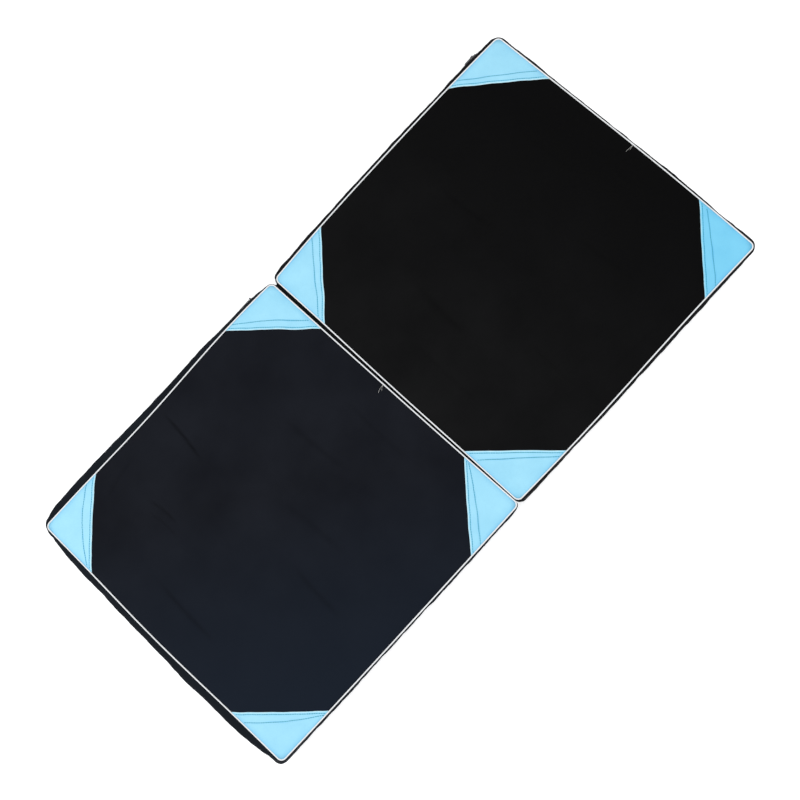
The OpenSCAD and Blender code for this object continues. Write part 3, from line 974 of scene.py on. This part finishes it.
def make_zip(side, wall_tree):
    """The zip along the wall: two woven tapes sewn down, two interlocked coils, stops, slider and pull."""
    face_y = ZIP_OUT[side] + HALF + PIPE_R
    for name, z0, z1, seam in (("upper", 19.25, 29.45, 27.0), ("lower", 7.65, 17.85, 10.1)):
        node = f"zip_tape_{name}_{side}"
        low, high = box_mm(node)
        x = np.linspace(low[0] - FOLD_X, high[0] - FOLD_X, 150)
        z = np.linspace(z0, z1, 9)
        gx, gz = np.meshgrid(x, z, indexing="ij")
        y = np.empty_like(gx)
        for i in np.ndindex(gx.shape):
            hit = wall_tree.ray_cast((gx[i], face_y + 30, gz[i]), (0, -1, 0))[0]
            y[i] = (hit[1] if hit else face_y) + 0.12
        drift = np.array([noise.noise(Vector((v * 0.03, z0, 1.0))) for v in x])
        index = np.arange(gx.size).reshape(gx.shape)
        tape = make(
            f"zip_{side}_tape_{name}", np.stack([gx, y + 0.10 * drift[:, None], gz], -1).reshape(-1, 3),
            quads(index, flip=True), tape_cloth, np.stack([gx, gz, 0 * gx], -1).reshape(-1, 3),
        )
        thicken(tape, 0.45, 1.0)
        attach(tape, f"panel_{side}")
        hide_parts(node)
        parts = []
        at = x[0] + 1.5
        while at + 2.6 < x[-1] - 1.5:
            spots = at + 2.6 * np.array([0, 0.15, 0.5, 0.85, 1.0])
            level = np.interp(spots, x, np.interp(seam, z, [0, 0, 0, 0, 0, 0, 0, 0, 0]) + y[:, np.argmin(abs(z - seam))])
            line = np.stack([spots, level + 0.45 + 0.16 - np.array([0.35, 0.05, 0, 0.05, 0.35]), seam + 0 * spots], 1)
            parts.append(tube(line, 0.2, 5)[:2])
            at += 3.3
        points, faces = joined(parts)
        sewn = make(f"zip_{side}_stitches_{name}", points, faces, black_thread)
        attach(sewn, f"panel_{side}")

        low, high = box_mm(f"zip_coil_{name}_{side}")
        outer, head = (high[2] - 0.3, ZIP_Z - 0.35) if name == "upper" else (low[2] + 0.3, ZIP_Z + 0.35)
        line = helix(low[0] - FOLD_X, high[0] - FOLD_X, outer, head, 0 if name == "upper" else 0.5)
        line[:, 1] += (low[1] + high[1]) / 2 - MID_Y
        points, faces, _ = tube(line, 0.26, 5)
        coil = make(f"zip_{side}_coil_{name}", points, faces, coil_plastic)
        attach(coil, f"panel_{side}")
        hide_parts(f"zip_coil_{name}_{side}")


def make_hinge():
    """The strip of cloth sewn into both top seams at the fold. It sags a little between them."""
    y = np.linspace(-234, 234, 118)
    across = np.linspace(-1, 1, 23)
    edge_a = on_plan("a", NEAR + 0 * y, y)[0]
    edge_b = on_plan("b", -NEAR + 0 * y, y)[0]
    middle = (edge_a + edge_b) / 2
    half = np.maximum((edge_a - edge_b) / 2, 1.2)
    x = middle[:, None] + 11.0 * across[None, :]
    free = np.clip(1 - (abs(x - middle[:, None]) / half[:, None]) ** 2, 0, 1)
    drift = np.array([noise.noise(Vector((v * 0.03, 2.0, 5.0))) for v in y])
    z = SEAM_Z - 0.45 - free * (2.2 + 0.6 * drift[:, None]) * np.minimum(half[:, None] / 3, 1)
    index = np.arange(x.size).reshape(x.shape)
    points = np.stack([x, y[:, None] + 0 * x, z], -1).reshape(-1, 3)
    strip = make("hinge_strip_cloth", points, quads(index, flip=True), hinge_cloth, points * (1, 1, 0))
    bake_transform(strip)
    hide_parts("hinge_strip")


# ---------------------------------------------------------------- build the two halves
def make_half(side):
    panel = Panel(side)
    body = f"panel_{side}"
    panel.swell()
    points = panel.points
    plan = np.zeros_like(points)
    plan[:, :2] = panel.rest[:, :2]

    top = make(
        f"top_cover_{side}_cloth", points[panel.top_index.ravel()], quads(panel.top_index), top_cloth[side],
        plan[panel.top_index.ravel()],
    )
    subdivide(top)
    laid = points_of(top)
    added, shade = wrinkles(side, laid)
    laid[:, 2] = np.minimum(laid[:, 2] + added, HIGHEST_TOP)
    put_points(top, laid)
    set_wear_highlight_and_shade(top.data, shade)
    tree = tree_of(top)
    thicken(top, FABRIC)
    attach(top, body)
    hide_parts(f"top_cover_{side}")

    index = panel.wall_index
    count, rows = index.shape
    walls = points[index.ravel()]
    numbers = np.arange(count * rows).reshape(count, rows)
    numbers = np.concatenate([numbers, numbers[:1]], 0)
    run = np.repeat(panel.run[:-1], rows)
    drop_run = np.tile(np.linspace(0, 42, rows), count)
    wall = make(
        f"side_wall_{side}_cloth", walls, quads(numbers, flip=True), wall_cloth[side],
        np.stack([run, drop_run, 0 * run], 1),
    )
    subdivide(wall)
    laid = points_of(wall)
    normals = np.zeros(len(laid) * 3, np.float32)
    wall.data.vertex_normals.foreach_get("vector", normals)
    normals = normals.reshape(-1, 3)
    soft = np.clip((laid[:, 2] - 1.0) / 5, 0, 1) * np.clip((36.5 - laid[:, 2]) / 3, 0, 1)
    zip_band = (normals[:, 1] > 0.6) & (abs(laid[:, 2] - ZIP_Z) < 12)
    toward_fold = laid[:, 0] < 2.5 if side == "a" else laid[:, 0] > -2.5
    soft = soft * np.where(zip_band | toward_fold, 0.0, 1.0)
    creased = np.array([
        noise.noise(Vector((px * 0.055, py * 0.055, pz * 0.02 + 4))) + 0.5 * noise.noise(Vector((px * 0.13, py * 0.13, pz * 0.05)))
        for px, py, pz in laid
    ])
    laid += normals * (0.75 * creased * soft)[:, None]
    put_points(wall, laid)
    wall_tree = tree_of(wall)
    thicken(wall, FABRIC)
    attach(wall, body)
    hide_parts(f"side_wall_{side}")

    under = make(
        f"bottom_cover_{side}_cloth", points[panel.bottom_index.ravel()], quads(panel.top_index, flip=True),
        bottom_cloth, plan[panel.bottom_index.ravel()],
    )
    laid = points_of(under)
    ripple = np.array([noise.noise(Vector((px * 0.02, py * 0.02, 1.5))) for px, py, _ in laid])
    laid[:, 2] += np.clip(ripple, 0, 1) * 0.5 * np.clip(panel.depth.ravel() / 30, 0, 1)
    put_points(under, laid)
    thicken(under, FABRIC)
    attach(under, body)
    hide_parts(f"bottom_cover_{side}")

    core = make(f"foam_core_{side}_block", points, panel.faces(), foam)
    normals = np.zeros(len(points) * 3, np.float32)
    core.data.vertex_normals.foreach_get("vector", normals)
    shrunk = points - normals.reshape(-1, 3) * 1.9
    shrunk[:, 2] = np.clip(shrunk[:, 2], 1.6, 36.2)
    put_points(core, shrunk)
    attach(core, body)
    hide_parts(f"foam_core_{side}")

    make_piping(side)
    for where, end, across in PATCHES:
        if where == side:
            make_patch(side, end, across, tree)
    make_zip(side, wall_tree)


for side in SIDES:
    make_half(side)
make_hinge()

# The zip's metal pieces keep their own shapes, with softened edges
for side in SIDES:
    for kind, width in (("stops", 0.3), ("slider", 0.25), ("pull", 0.2)):
        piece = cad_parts[f"zip_{kind}_{side}"]
        for slot in piece.material_slots:
            slot.material = zip_metal
        soften = piece.modifiers.new("soft_edges", "BEVEL")
        soften.width = width * MM
        soften.segments = 2
        soften.limit_method = "ANGLE"

# ---------------------------------------------------------------- floor and light
s = Shader("floor", Specular_IOR_Level=0.0, Emission_Color=(1, 1, 1, 1), Emission_Strength=0.34)
flecks = s.noise(s.node("ShaderNodeTexCoord").outputs["Object"], 3.0)
s.join("Base Color", s.mix(flecks, (0.93, 0.93, 0.93), (0.96, 0.96, 0.96)))
s.join("Roughness", s.steps(flecks, (0.0, 0.8), (1.0, 0.9)))
mesh = bpy.data.meshes.new("floor")
mesh.from_pydata([(-6, -6, -0.0004), (6, -6, -0.0004), (6, 6, -0.0004), (-6, 6, -0.0004)], [], [(0, 1, 2, 3)])
mesh.materials.append(s.material)
floor = bpy.data.objects.new("floor", mesh)
scene.collection.objects.link(floor)

world = bpy.data.worlds.new("studio")
scene.world = world
world.use_nodes = True
world.node_tree.nodes["Background"].inputs[0].default_value = (0.97, 0.985, 1.0, 1)
world.node_tree.nodes["Background"].inputs[1].default_value = 1.05


def area_light(name, place, aim, size, power, colour=(1, 1, 1)):
    data = bpy.data.lights.new(name, "AREA")
    data.size = size
    data.energy = power
    data.color = colour
    light = bpy.data.objects.new(name, data)
    scene.collection.objects.link(light)
    light.location = place
    light.rotation_mode = "QUATERNION"
    light.rotation_quaternion = (Vector(aim) - Vector(place)).to_track_quat("-Z", "Y")


area_light("key", (-1.7, 0.6, 2.0), (-0.1, 0, 0), 1.4, 16)
area_light("fill", (1.5, -1.3, 2.2), (0.1, 0, 0), 1.8, 8)
scene.view_settings.view_transform = "Standard"
